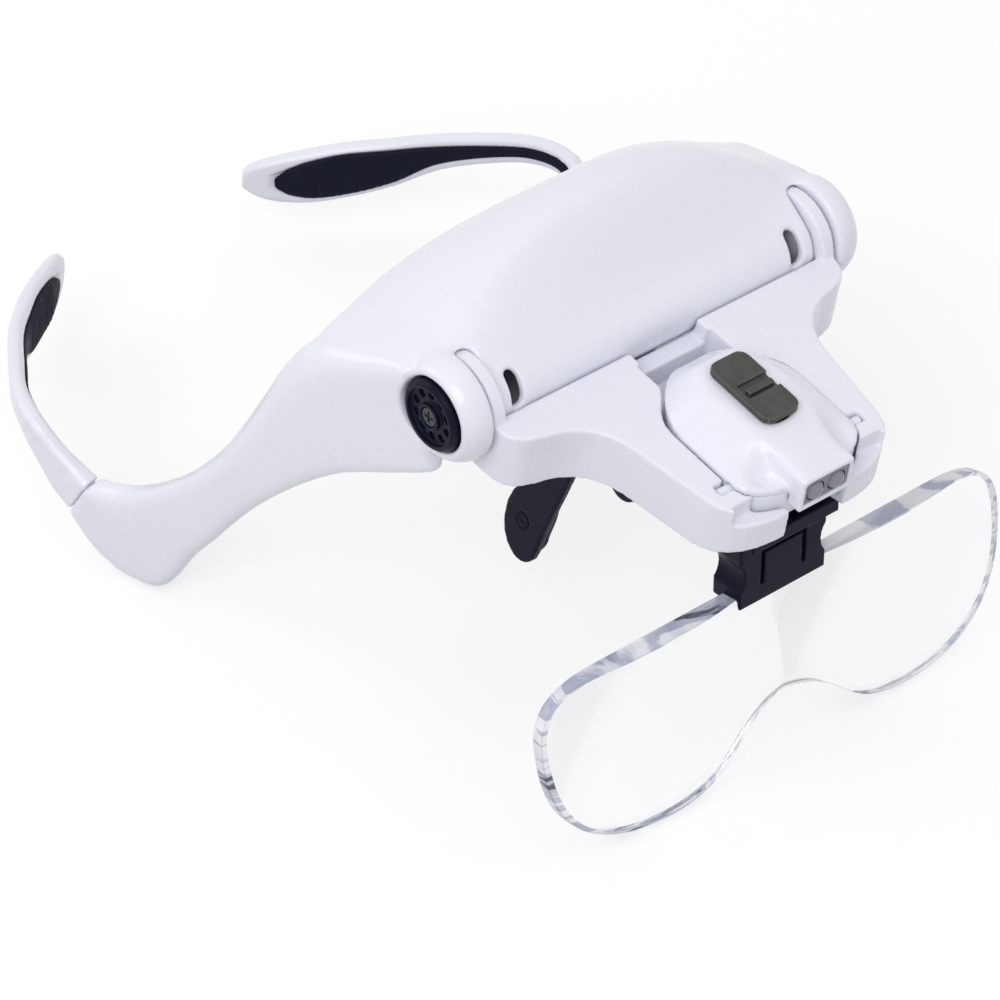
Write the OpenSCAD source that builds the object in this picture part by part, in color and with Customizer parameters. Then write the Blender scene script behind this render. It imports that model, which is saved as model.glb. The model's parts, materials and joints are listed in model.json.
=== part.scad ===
// Lighted magnifier glasses: a brow frame with plug-in legs, a tilting lamp and lens carrier,
// a tilting lamp pod with two light-emitting diodes, and a clip-on twin magnifying lens.
// X runs across the head, the wearer faces -Y, and the object stands on its lens and wing heels.

/* [Brow] */
// Height of the tilt axis above the table
axis_h = 88; // [84:1:92]
// Half width of the brow cover
cover_half = 45.2; // [43:0.2:46]
// Height of the crown above the tilt axis
crown_top = 27.8; // [25:0.2:30]
// Height of the crown above the tilt axis at its ends
crown_end = 11.8; // [11.6:0.1:12.6]
// Wall of the brow mouldings
wall = 2.2; // [1.6:0.1:2.6]
// Distance from the tilt axis to the front of the brow cover
cover_r = 8.8; // [8:0.1:8.9]

/* [Wings] */
// Outward lean of each wing, in degrees
flare = 13.5; // [10:0.5:16]
// Thickness of a wing
wing_t = 5.6; // [5.2:0.1:7]

/* [Tilt hinge] */
// Radius of the carrier's hub
hub_r = 11.2; // [10:0.1:11.4]
// Thickness of the hub
hub_t = 3.4; // [3:0.1:4]
// Radius of the boss on the wing
boss_r = 12.6; // [12:0.1:14]
// Thickness of the boss
boss_t = 7; // [6.5:0.1:8]
// Radius of the hub's shaft
shaft_r = 4; // [3.2:0.1:4.6]
// Radius of the knob
knob_r = 8.5; // [7:0.1:9.5]
// Thickness of the knob
knob_t = 4.6; // [4:0.1:5.5]
// Depth of the recess that takes the knob
recess_d = 3.4; // [2.5:0.1:4]

/* [Lamp carrier] */
// Downward lean of the carrier at rest, in degrees
carrier_lean = 10.5; // [6:0.5:12]
// Depth of the carrier from its top face to its underside
carrier_d = 14.6; // [13:0.1:16]
// Half width of the tray that holds the lamp pod
tray_half = 25.5; // [23:0.1:28]
// Distance from the tilt axis to the pod's pivot
pivot_y = 51; // [50:0.5:52]

/* [Lamp pod] */
// Half width of the pod
pod_half = 17.2; // [16:0.1:18]
// Height of the pod above the carrier's top face
pod_rise = 7; // [6:0.1:8]
// Radius of the pod's pivot pins
pin_r = 1.5; // [1.2:0.1:1.8]
// Diameter of a lamp
led_d = 5; // [4:0.1:5]
// Distance between the lamps
led_pitch = 6; // [5.6:0.1:6.2]
// Travel of the switch
switch_travel = 3; // [2:0.1:3.5]

/* [Lens] */
// Width of the lens
lens_w = 135; // [120:1:140]
// Height of the lens
lens_h = 44; // [40:0.5:46]
// Thickness of the lens at its ends
lens_t = 3; // [2.5:0.1:3.4]
// Bulge of each magnifying lobe
lobe_rise = 4.6; // [3:0.1:6]
// Forward lean of the lens, in degrees
lens_lean = 8.5; // [4:0.5:10]
// Half width of the lens clip
clip_half = 12.5; // [11:0.1:14]

/* [Legs] */
// Height of a leg at its narrowest
leg_h = 7.6; // [6:0.1:9]
// Thickness of a leg
leg_t = 4.2; // [3.6:0.1:5]
// Length of the plug that holds a leg
plug_l = 11; // [8:0.5:12]

/* [Fits] */
// Gap between pieces that move past each other
gap = 0.4; // [0.3:0.05:0.5]
// Radial play of a shaft in its bore
play = 0.05; // [0.03:0.01:0.09]
// Gap at a seam between fixed mouldings
seam = 0.3; // [0.2:0.05:0.4]

/* [Hidden] */

// Places along the tilt axis, from the middle outwards
hub_in = cover_half + gap;
hub_out = hub_in + hub_t;
washer_t = 0.6;
boss_in = hub_out + washer_t + 0.2;
boss_out = boss_in + boss_t;
recess_x = boss_out - recess_d;
knob_x = recess_x + 0.2;
shaft_end = knob_x - 0.1;
crown_half = boss_in;

// Middle of the whole object from front to back, so that the origin lies below its centre
mid_y = 58.851;

// Colours
white = [0.93, 0.93, 0.96];
black = [0.12, 0.12, 0.16];
grey = [0.34, 0.35, 0.33];
clear = [0.85, 0.92, 0.97, 0.45];
steel = [0.75, 0.76, 0.78];

fine = 64;
eps = 0.01;

function bez(p, t) = pow(1 - t, 3) * p[0] + 3 * t * pow(1 - t, 2) * p[1]
    + 3 * t * t * (1 - t) * p[2] + pow(t, 3) * p[3];
function curve(p, n) = [for (i = [0:n]) bez(p, i / n)];
function arc(c, r, a0, a1, n) =
    [for (i = [0:n]) let (a = a0 + (a1 - a0) * i / n) [c[0] + r * cos(a), c[1] + r * sin(a)]];
function flip(list) = [for (i = [len(list) - 1:-1:0]) list[i]];
function unit(v) = v / norm(v);

// Rows of values joined by smooth curves, n steps between two rows
function smooth_row(a, b, c, d, t) = b + (c - a) * t / 2 + (2 * a - 5 * b + 4 * c - d) * t * t / 2
    + (3 * b - a - 3 * c + d) * t * t * t / 2;
function smooth(rows, n) = let (m = len(rows) - 1) concat([for (i = [0:m - 1], k = [0:n - 1])
    smooth_row(rows[max(i - 1, 0)], rows[i], rows[i + 1], rows[min(i + 2, m)], k / n)], [rows[m]]);

// Path moved sideways by w, to its right
function side(path, w) = [for (i = [0:len(path) - 1])
    let (d = unit(path[min(i + 1, len(path) - 1)] - path[max(i - 1, 0)]))
    path[i] + w * [d[1], -d[0]]];

// Skin over closed rings that have equal counts of points
module skin(rings) {
    m = len(rings);
    n = len(rings[0]);
    sides = [for (i = [0:m - 2], j = [0:n - 1])
        let (a = i * n + j, b = i * n + (j + 1) % n)
        each [[a, b, a + n], [b, b + n, a + n]]];
    ends = [[for (j = [n - 1:-1:0]) j], [for (j = [0:n - 1]) (m - 1) * n + j]];
    polyhedron([for (r = rings) each r], concat(sides, ends), convexity = 10);
}

// Ring of eight points round four corners, each corner cut back by c
function cut_ring(q, c) = [for (i = [0:3])
    let (p = q[i], a = q[(i + 3) % 4], b = q[(i + 1) % 4])
    each [p + min(c, norm(a - p) / 3) * unit(a - p), p + min(c, norm(b - p) / 3) * unit(b - p)]];

module place() translate([0, -mid_y, axis_h]) children();
module on_carrier() place() rotate([carrier_lean, 0, 0]) children();
module on_side(s) mirror([s < 0 ? 1 : 0, 0, 0]) children();
// Round bar along X from x0 to x1, round the point [y, z]
module bar(x0, x1, r, y = 0, z = 0, r2 = -1) translate([x0, y, z]) rotate([0, 90, 0])
    cylinder(h = x1 - x0, r1 = r, r2 = r2 < 0 ? r : r2, $fn = fine);
// Outline given as [y, z], pulled along X from x0 to x1
module slab(x0, x1, outline) translate([x0, 0, 0]) rotate([90, 0, 90])
    linear_extrude(x1 - x0) polygon(outline);

// Crown: a curved roof with its rear wall and floor, as sections across X
function crown_z(u) = crown_top - (crown_top - crown_end) * pow(abs(u), 2.1);
function seam_pt(u) = [11.5 - 5 * pow(abs(u), 3), crown_z(u)];
function rear_pt(u) = [34 + 6.8 * u * u / (u * u + 0.3), 14.5 - 11.4 * pow(abs(u), 2.05)];
floor_z = -9.6;
function roof(u) = let (b = seam_pt(u), a = rear_pt(u))
    curve([b, b + [9, 1.2 - 0.6 * u * u], a + [-6, 8 - 4 * u * u], a], 9);
function rear_wall(u) = let (a = rear_pt(u)) [[a[0] - 0.6, a[1] - 4], [a[0] - 2.5, floor_z]];
function crown_path(u) = concat(roof(u), rear_wall(u), [[cover_back, floor_z]]);
cover_back = 12;
// Offset of a path, whose first point is set straight below the path's own, moved back by w
function inner(p, wide, w) = let (q = side(p, wide)) concat([p[0] + [w, -wall]], [for (i = [1:len(q) - 1]) q[i]]);
function crown_ring(x) = [for (v = concat(crown_path(x / crown_half), [[11.6, 0]])) [x, v[0], v[1]]];
// Hollow under the crown, open at the front
function hollow_ring(x) = let (q = inner(crown_path(x / crown_half), wall, 0.2), n = len(q) - 1)
    [for (v = concat(q, [[-2, q[n][1]], [-2, q[0][1]]])) [x, v[0], v[1]]];
hollow_half = boss_in + 1;

// Wing: sections from the boss to the socket, as [outer top, inner top, bottom], each [y, z]
wing_sections = [
    [[8, 9], [10, 9.6], [1, -16.6]],
    [[23, 2.6], [26, 6], [12, -22.5]],
    [[35, -5], [40, 0], [26, -29]],
    [[47.5, -24], [49, -15.5], [39.5, -39.5]],
    [[59, -41], [59, -34], [52.5, -52.5]],
    [[69, -50.5], [69, -47.5], [63, -66]],
    [[76, -56], [77, -54.5], [69.5, -74]],
    [[81, -60], [82, -58], [75, -83]],
    [[86, -63.5], [87, -60.8], [80.5, 0]],
    [[89.8, -65.6], [90.4, -62.2], [91, 0]],
    [[94, -67], [94, -63.6], [98.6, -82.5]],
    [[98.3, -66.7], [98, -65.2], [104.1, -76.4]]];
function wing_x(y) = boss_out + tan(flare) * y;
function wing_pt(p, inward) = [wing_x(p[0]) - inward, p[0], p[1]];
function heel(p) = [p[0], p[1] == 0 ? -axis_h : p[1]];
wing_rows = smooth([for (s = wing_sections) [s[0], s[1], heel(s[2])]], 2);
function on_table(p) = [p[0], max(p[1], -axis_h)];
function wing_ring(s) = cut_ring([wing_pt(s[0], 0), wing_pt(s[1], wing_t),
    wing_pt(on_table(s[2]), wing_t - 0.6), wing_pt(on_table(s[2]), 0)], 1.3);

// Plug that joins a leg to its wing
wing_end = [101, -70.8];
plug_rise = 32;
plug_h = 8;
plug_w = 3;
plug_at = [wing_x(wing_end[0]) - wing_t / 2, wing_end[0], wing_end[1]];
plug_dir = [sin(flare) * cos(plug_rise), cos(flare) * cos(plug_rise), sin(plug_rise)];
module at_plug() translate(plug_at) rotate([0, 0, -flare]) rotate([plug_rise, 0, 0]) children();

// Cover fixing screws, at half spacing post_x
post_x = 27;
post_z = 1.5;
post_r = 3.2;
screw_r = 1.3;
post_y = rear_pt(post_x / crown_half)[0] - 1.4 - wall;

module frame_shell() color(white) place() difference() {
    union() {
        difference() {
            skin(concat([for (k = [1:-0.25:0.25]) [for (v = shoulder_ring(k)) [-v[0], v[1], v[2]]]],
                [for (x = [-crown_half:crown_half / 12:crown_half + eps]) crown_ring(x)],
                [for (k = [0.25:0.25:1]) shoulder_ring(k)]));
            intersection() {
                skin([for (i = [-13:13]) hollow_ring(i * hollow_half / 12)]);
                translate([-hollow_half, -20, -20]) cube([2 * hollow_half, 80, 60]);
            }
        }
        for (s = [-1, 1]) on_side(s) {
            boss();
            skin([for (w = wing_rows) wing_ring(w)]);
        }
        rear_tab();
    }
    for (s = [-1, 1]) on_side(s) {
        bar(boss_in - 1, boss_out + 4, shaft_r + play);
        bar(recess_x, boss_out + 6, knob_r + gap);
        at_plug() translate([0, -plug_l / 2 + 2, 0])
            cube([plug_w + 0.2, plug_l + 4.6, plug_h + 0.2], center = true);
        translate([post_x, post_y - 3, post_z]) rotate([-90, 0, 0])
            cylinder(h = 12, r = screw_r + 0.4, $fn = fine);
    }
}

// Boss that the hub's shaft runs in, its outer edge rounded off
module boss() {
    bar(boss_in, boss_out - 4, boss_r);
    bar(boss_out - 4 - eps, boss_out - 1.8, boss_r, 0, 0, boss_r - 0.8);
    bar(boss_out - 1.8 - eps, boss_out, boss_r - 0.8, 0, 0, knob_r + gap + 1.5);
}

// Solid corner that carries the crown on to the boss and the wing
function shoulder_x(y, k) = (1 - k) * crown_half + k * (wing_x(y) - wing_t / 2);
function shoulder_ring(k) = let (b = seam_pt(1) - [0, 3.4 * k * k], a = rear_pt(1) - [0.2 * k, 7.6 * pow(k, 1.5)])
    [for (v = concat(curve([b, b + [9, 0.6 - 0.4 * k], a + [-6, 4 - k], a], 9),
        [a - [0.6, 4], a - [2.5, 11 - 2 * k], [cover_back, floor_z + 0.6 * k], [11.6, 0]]))
        [shoulder_x(v[0], k), v[0], v[1]]];

// Thin tab on the middle of the crown's rear edge
tab_half = 5.6;
module rear_tab() translate([-tab_half, rear_pt(0)[0] - wall, rear_pt(0)[1] - 3])
    cube([2 * tab_half, wall - 0.6, 5]);

// Brow cover: the front of the crown, round the tilt axis, as sections across X
front_turn = 52;
function cover_path(u) = let (b = seam_pt(u) - [seam, 0], f = front_turn,
        p = cover_r * [-cos(f), sin(f)], d = cover_r * 0.35 * [sin(f), cos(f)])
    concat(curve([b, b - [5, 1.2], p + d * 1.6, p], 7),
        [for (i = [1:8]) let (a = f - i * (f + 70) / 8) cover_r * [-cos(a), sin(a)]],
        [[cover_back - seam, floor_z]]);
function cover_ring(x) = let (u = x / crown_half, p = cover_path(u), q = inner(p, -wall, -0.1))
    [for (v = concat(flip(p), q)) [x, v[0], v[1]]];
slot_x = 40.2;
slot_w = 3.2;
slot_low = -8;
slot_high = 58;

module brow_cover() color(white) place() difference() {
    union() {
        skin([for (x = [-cover_half:cover_half / 12:cover_half + eps]) cover_ring(x)]);
        for (s = [-1, 1]) on_side(s) {
            slab(cover_half - wall, cover_half - 0.2, side(cover_path(cover_half / crown_half), -wall / 2));
            translate([post_x, wall / 2 - cover_r, post_z]) rotate([-90, 0, 0])
                cylinder(h = post_y + cover_r - wall / 2 - 0.1, r = post_r, $fn = fine);
        }
    }
    for (s = [-1, 1]) on_side(s) {
        translate([post_x, post_y - 8, post_z]) rotate([-90, 0, 0])
            cylinder(h = 10, r = screw_r, $fn = fine);
        // Short curved slot near the cover's end
        translate([slot_x - slot_w / 2, 0, 0]) rotate([0, 90, 0])
            rotate([0, 0, 270 - slot_high]) rotate_extrude(angle = slot_high - slot_low, $fn = fine)
            translate([cover_r - wall - 1, 0]) square([wall + 3, slot_w]);
    }
}

module cover_screws() color(steel) place() for (s = [-1, 1])
    translate([s * post_x, post_y - 7, post_z]) rotate([-90, 0, 0]) difference() {
        union() {
            cylinder(h = 7 + wall + 0.1, r = screw_r - 0.02, $fn = fine);
            translate([0, 0, 8.6 + wall]) cylinder(h = 1.5, r = 2.6, $fn = fine);
            translate([0, 0, 7]) cylinder(h = 2 + wall, r = screw_r - 0.02, $fn = fine);
        }
        for (a = [0, 90]) rotate(a) translate([-1.7, -0.3, 9.3 + wall]) cube([3.4, 0.6, 2]);
    }

// Nose bracket: a bridge under the brow and two leaves that lean apart
leaf_t = 2.2;
leaf_x = 9.5;
leaf_splay = 6;
leaf = concat([[10, 0], [20, 0]], curve([[20, 0], [20, -16], [10, -22], [9, -30]], 6),
    curve([[9, -30], [10, -36], [24, -38], [24, -52]], 8),
    curve([[24, -52], [24, -62], [14, -63.5], [12.5, -56]], 8),
    curve([[12.5, -56], [10, -46], [4, -34], [2.4, -26]], 5),
    curve([[2.4, -26], [1, -18], [8, -10], [10, 0]], 5));
pad_hole = [17.5, -50];
module at_leaf() translate([leaf_x, 0, floor_z]) rotate([0, -leaf_splay, 0]) children();

module nose_bracket() color(black) place() {
    difference() {
        translate([-leaf_x - leaf_t + 0.2, 10.4, floor_z - 3]) cube([2 * (leaf_x + leaf_t) - 0.4, 9.2, 2.9]);
        translate([-6, 12, floor_z - 4]) cube([12, 6, 5]);
    }
    for (s = [-1, 1]) on_side(s) at_leaf() difference() {
        slab(0, leaf_t, [for (p = leaf) [p[0], p[1] - 0.4]]);
        bar(-1, leaf_t + 1, 1.9, pad_hole[0], pad_hole[1]);
    }
}

pad_t = 2.6;
module nose_pad(s) color(black) place() on_side(s) at_leaf() {
    slab(-pad_t - 0.1, -0.1, concat(curve([[12, -40], [22, -38], [25, -50], [22.5, -57]], 8),
        curve([[22.5, -57], [20, -63], [13, -60], [12.5, -54]], 8),
        [for (p = curve([[12.5, -54], [11, -49], [8, -42], [12, -40]], 6)) p]));
    bar(-pad_t / 2, leaf_t - 0.4, 1.85, pad_hole[0], pad_hole[1]);
}
module nose_pad_right() nose_pad(-1);
module nose_pad_left() nose_pad(1);

module washer(s) color(black) place() on_side(s) difference() {
    bar(hub_out + 0.1, hub_out + 0.1 + washer_t, shaft_r + 4);
    bar(hub_out - 1, hub_out + 2, shaft_r + 0.3);
}
module washer_right() washer(-1);
module washer_left() washer(1);

// Lamp carrier: two arms from the hubs to a tray, in its own level frame
top_z = 1.1;
base_z = top_z - carrier_d;
back_y = -cover_r - gap;
inner_half = pod_half + gap;
front_y = -61.5;
lip_half = 8.3;
shield_half = 24;
shield_low = 60;
lip_z = -3.4;
rise = 13;
tray_floor = 4;
module half_outline() polygon(concat(
    [[0, back_y], [hub_in, back_y], [hub_in, -2], [hub_out, -2], [hub_out, -10]],
    curve([[hub_out, -10], [hub_out, -15], [47, -17.5], [42, -18.5]], 5),
    curve([[42, -18.5], [32, -20], [28.5, -26], [27.5, -34]], 8),
    curve([[27.5, -34], [tray_half + 0.8, -42], [tray_half, -46], [tray_half - 0.8, -52]], 5),
    curve([[tray_half - 0.8, -52], [tray_half - 2, -60], [16, front_y], [lip_half, front_y]], 6),
    [[lip_half, -56], [0, -56]]));
// Opening that the pod drops into
module well(grow, y0) polygon(concat([[0, y0], [10.6 + grow, y0], [10.6 + grow, -21]],
    curve([[10.6 + grow, -21], [13, -25], [inner_half + grow, -27], [inner_half + grow, -33]], 5),
    [[inner_half + grow, -52]], curve([[inner_half + grow, -52], [inner_half + grow, -56.5],
        [12, -59 - grow], [lip_half, -59.4 - grow]], 4),
    [[lip_half, -66], [0, -66]]));
module both() for (s = [0, 1]) mirror([s, 0, 0]) children();
socket_y = [-49.6, -41.4];
notch_w = 2 * (pin_r + 0.1);

module lamp_carrier() color(white) difference() {
    union() {
        on_carrier() difference() {
            union() {
                both() translate([0, 0, base_z]) linear_extrude(carrier_d) half_outline();
                both() bar(hub_in, hub_out, hub_r);
                // Curved lip that closes the gap under the cover
                translate([-shield_half, 0, 0]) rotate([0, 90, 0]) rotate([0, 0, 270 + 8])
                    rotate_extrude(angle = shield_low - 8, $fn = fine)
                    translate([cover_r + gap, 0]) square([1.6, 2 * shield_half]);
            }
            both() translate([0, 0, base_z + tray_floor]) linear_extrude(carrier_d) well(0, -13);
            // Lower rear wall, so that the pod's tail can be reached
            translate([-9.6, back_y - 8, -3.2]) cube([19.2, 9, 6]);
            // Front lips are lower than the sides
            translate([-tray_half + 4, front_y - 2, lip_z]) cube([2 * tray_half - 8, 7, 12]);
            translate([-lip_half, front_y - 2, lip_z - 4]) cube([2 * lip_half, 7, 12]);
            // Underside rises towards the front
            translate([-tray_half - 2, -50.5, base_z]) rotate([-rise, 0, 0]) translate([0, -30, -10])
                cube([2 * tray_half + 4, 30, 10]);
            // Arms are hollow from below
            both() translate([0, 0, base_z - 1]) linear_extrude(carrier_d - 1.4) arm_pocket();
            // Open notches that the pod's pins drop into
            for (s = [-1, 1]) on_side(s) {
                translate([inner_half - 1, -pivot_y - notch_w / 2, pin_z])
                    cube([4.2, notch_w, 10]);
                bar(inner_half - 1, inner_half + 3.2, pin_r + 0.1, -pivot_y, pin_z);
            }
        }
        for (s = [-1, 1]) place() on_side(s) bar(hub_out - 0.5, shaft_end, shaft_r);
        on_carrier() translate([-clip_half - 2, -50.5, base_z]) cube([2 * clip_half + 4, 10.5, 5]);
    }
    for (s = [-1, 1]) place() on_side(s) bar(hub_out - 4, shaft_end + 1, screw_r);
    place() clip_plug(0.25, 4);
}
module arm_pocket() polygon(concat([[14.5, -11.6], [hub_in - 1.4, -11.6], [hub_in - 1.4, -15.6]],
    curve([[hub_in - 1.4, -15.6], [32, -16.8], [26, -22], [24.6, -30]], 6),
    [[tray_half - 2.6, -40], [tray_half - 2.8, -48], [inner_half + 2.2, -48],
        [inner_half + 2.2, -28], [14.5, -19]]));

// Pivot of the pod in the tray's sides
pin_z = -1;

// Upper part of the lens clip, which goes up into the carrier's socket
plug_half = clip_half - 2.4;
plug_top = -17;
module clip_plug(grow, extra) translate([-plug_half - grow, -48.6 - grow, -30])
    cube([2 * (plug_half + grow), 6.4 + 2 * grow, 30 + plug_top + extra]);

knob_pockets = 10;
module knob(s) color(black) place() on_side(s) difference() {
    union() {
        bar(knob_x, knob_x + knob_t - 0.8, knob_r);
        bar(knob_x + knob_t - 0.8 - eps, knob_x + knob_t, knob_r, 0, 0, knob_r - 0.8);
    }
    difference() {
        bar(knob_x + knob_t - 1, knob_x + knob_t + 1, knob_r - 1.7);
        bar(knob_x, knob_x + knob_t + 2, 3.2);
    }
    for (i = [1:knob_pockets]) rotate([i * 360 / knob_pockets, 0, 0])
        bar(knob_x + knob_t - 2, knob_x + knob_t, 0.95, 0, knob_r - 3.2);
    bar(knob_x - 1, knob_x + knob_t + 1, screw_r + 0.2);
    bar(knob_x + knob_t - 1.6, knob_x + knob_t + 1, 2.4);
}
module knob_right() knob(-1);
module knob_left() knob(1);

module knob_screw(s) color(steel) place() on_side(s) difference() {
    union() {
        bar(hub_out - 3, knob_x + knob_t - 1, screw_r - 0.02);
        bar(knob_x + knob_t - 1.5, knob_x + knob_t - 0.2, 2.2);
    }
    for (a = [0, 90]) rotate([a, 0, 0])
        translate([knob_x + knob_t - 0.8, -1.5, -0.3]) cube([2, 3, 0.6]);
}
module knob_screw_right() knob_screw(-1);
module knob_screw_left() knob_screw(1);

// Lamp pod: outline from its tail to its nose, half of it
tail_y = -19;
nose_y = -63;
pod_floor = -7;
split_z = 0;
function pod_edge(w, cut) = concat([[0, tail_y - cut]],
    curve([[5 - cut, tail_y - cut], [9 - cut, tail_y - cut], [w, -28], [w, -35]], 7),
    [[w, -52]], curve([[w, -52], [w, -56], [12, -58.5 + cut], [7.6 - cut, -59 + cut]], 4),
    [[0, -59 + cut]]);
module pod_plan(w, cut) both() polygon(pod_edge(w, cut));

nose_half = 7.4;
base_front = -58.8;
module pod_hump(cut) {
    hull() {
        translate([0, 0, split_z]) linear_extrude(cut > 0 ? 0.6 : 1.6) pod_plan(pod_half - cut, cut);
        translate([0, 0, top_z + pod_rise - 0.6 - cut]) linear_extrude(0.6)
            polygon([[-8 + cut, -47], [-9 + cut, -33], [-5, -25 - cut], [5, -25 - cut],
                [9 - cut, -33], [8 - cut, -47]]);
    }
    hull() {
        translate([-nose_half + cut, nose_y + cut, split_z])
            cube([2 * (nose_half - cut), 8, 5.8 - cut]);
        translate([-8 + cut, -47, split_z]) cube([16 - 2 * cut, 1, top_z + pod_rise - cut]);
    }
}
nose_low = -3.2;
switch_l = 20;
switch_w = 10.2;
switch_y = -39;
window_w = 12.4;
window_h = 6;
window_z = 1.2;

module pod_top() color(white) on_carrier() difference() {
    union() {
        pod_hump(0);
        translate([-nose_half, nose_y, nose_low])
            cube([2 * nose_half, base_front - nose_y - seam, split_z - nose_low + 0.1]);
    }
    translate([0, 0, -eps]) pod_hump(1.6);
    bar(-pod_half - 2, pod_half + 2, pin_r + seam, -pivot_y, pin_z);
    // Room for the lamps
    translate([-nose_half + 1.1, nose_y + 1.5, nose_low + 1.1])
        cube([2 * nose_half - 2.2, 9, window_z - nose_low + 2.1]);
    // Slot that the switch's thumb piece runs in
    translate([-2.6, switch_y - 5 - switch_travel, 0]) cube([5.2, 10 + 2 * switch_travel, 20]);
    // Opening for the lamp window
    translate([-window_w / 2 - 0.1, nose_y - 1, window_z - window_h / 2 - 0.1])
        cube([window_w + 0.2, 4, window_h + 0.2]);
}

module pod_base() color(white) on_carrier() {
    difference() {
        translate([0, 0, pod_floor]) linear_extrude(split_z - pod_floor - 0.1)
            pod_plan(pod_half - 0.3, 0.2);
        translate([0, 0, pod_floor + 1.6]) linear_extrude(10) pod_plan(pod_half - 2, 1.8);
        translate([0, cell_y, pod_floor - 1]) cylinder(h = 3, r = door_r + 0.2, $fn = fine);
        // Way for the lamps through the front wall
        translate([-nose_half + 1.1, base_front - 1, window_z - led_d / 2 - 1.2])
            cube([2 * nose_half - 2.2, 5, 5]);
    }
    for (s = [-1, 1]) on_side(s) bar(pod_half - 1, inner_half + 2.8, pin_r, -pivot_y, pin_z - 0.05);
    for (p = pod_posts) translate([p[0], p[1], pod_floor + 1.5]) difference() {
        cylinder(h = 5.3, r = 2, $fn = fine);
        translate([0, 0, 1]) cylinder(h = 6, r = 0.8, $fn = fine);
    }
}
pod_posts = [[-12, -53.5], [12, -53.5]];
module pod_screws() color(steel) on_carrier() for (p = pod_posts)
    translate([p[0], p[1], pod_floor + 3]) cylinder(h = 3.6, r = 0.78, $fn = fine);

// Two coin cells under a round door in the pod's floor
cell_r = 10;
cell_t = 3.2;
cell_y = -36;
door_r = cell_r + 0.8;
cell_z = pod_floor + 1.8;
module battery_door() color(white) on_carrier() difference() {
    translate([0, cell_y, pod_floor]) cylinder(h = 1.5, r = door_r, $fn = fine);
    translate([-5, cell_y - 0.7, pod_floor - 1]) cube([10, 1.4, 1.6]);
    translate([0, cell_y - 8, pod_floor - 1]) cylinder(h = 4, r = 0.9, $fn = fine);
}
module door_screw() color(steel) on_carrier() translate([0, cell_y - 8, pod_floor + 0.1]) {
    cylinder(h = 1.3, r = 0.85, $fn = fine);
}
module coin_cells() color(steel) on_carrier() for (i = [0, 1])
    translate([0, cell_y, cell_z + i * (cell_t + 0.05)]) {
        cylinder(h = cell_t - 0.4, r = cell_r - 0.2, $fn = fine);
        translate([0, 0, cell_t - 0.4]) cylinder(h = 0.4, r = cell_r - 1, $fn = fine);
    }
module spring_contact() color("goldenrod") on_carrier()
    translate([-2, cell_y - 8, cell_z - 0.25]) cube([4, 16, 0.2]);
board_z = cell_z + 2 * cell_t + 0.5;
module cell_contact() color("goldenrod") on_carrier()
    translate([-3, cell_y - 6, board_z - 0.32]) cube([6, 12, 0.2]);

module circuit_board() color("darkgreen") on_carrier() difference() {
    translate([-9, -53.7, board_z]) cube([18, 27.2, 0.8]);
    translate([-9.5, -27.5, board_z - 1]) cube([3, 3, 3]);
}
module switch_block() color(steel) on_carrier() difference() {
    translate([-4, switch_y - 7, board_z + 0.85]) cube([8, 14, 1.5]);
    translate([-2.2, switch_y - 3.6 - switch_travel / 2, board_z + 1.2])
        cube([4.4, 7.2 + switch_travel, 4]);
}
module switch_slider() color(grey) on_carrier() {
    top = top_z + pod_rise;
    translate([-2.1, switch_y + switch_travel / 2 - 3.4, board_z + 1.4]) cube([4.2, 6.8, top - board_z - 1.2]);
    translate([0, switch_y + switch_travel / 2, top + 0.15]) difference() {
        linear_extrude(1.7) both() polygon(concat([[0, -switch_l / 2]],
            arc([switch_w / 2 - 2.4, -switch_l / 2 + 2.4], 2.4, -90, 0, 5),
            arc([switch_w / 2 - 2.4, switch_l / 2 - 2.4], 2.4, 0, 90, 5), [[0, switch_l / 2]]));
        // Finger notch with a ridge standing in it
        translate([-switch_w / 2 + 1.4, -2.6, 0.7]) cube([switch_w, 4.4, 2]);
    }
    translate([-switch_w / 2 + 2.2, switch_y + switch_travel / 2 - 1.8, top + 0.7])
        cube([switch_w - 3, 1.5, 1.5]);
}

module led(s) color(clear) on_carrier()
    translate([s * led_pitch / 2, nose_y + led_d / 2 - 0.3, window_z - 0.2]) rotate([-90, 0, 0]) {
        cylinder(h = 3.4, r = led_d / 2, $fn = fine);
        translate([0, 0, 3.3]) cylinder(h = 1, r = led_d / 2 + 0.4, $fn = fine);
        difference() {
            sphere(r = led_d / 2, $fn = fine);
            translate([-5, -5, 0.1]) cube([10, 10, 10]);
        }
    }
module led_right() led(-1);
module led_left() led(1);
// Clear plate that the domes of the lamps look through
module led_window() color(clear) on_carrier() difference() {
    translate([-window_w / 2, nose_y + 0.5, window_z - window_h / 2]) cube([window_w, 1.3, window_h]);
    for (s = [-1, 1]) translate([s * led_pitch / 2, nose_y - 1, window_z - 0.2]) rotate([-90, 0, 0])
        cylinder(h = 5, r = led_d / 2 + 0.06, $fn = fine);
}

// Lens: flat back, two bulging lobes on the front, and a notch for the nose
lens_y = -43.8;
lobe_x = 0.245 * lens_w;
lobe_v = -0.46 * lens_h;
lobe_reach = 0.252 * lens_w;
lobe_r = (lobe_reach * lobe_reach + lobe_rise * lobe_rise) / (2 * lobe_rise);
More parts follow.
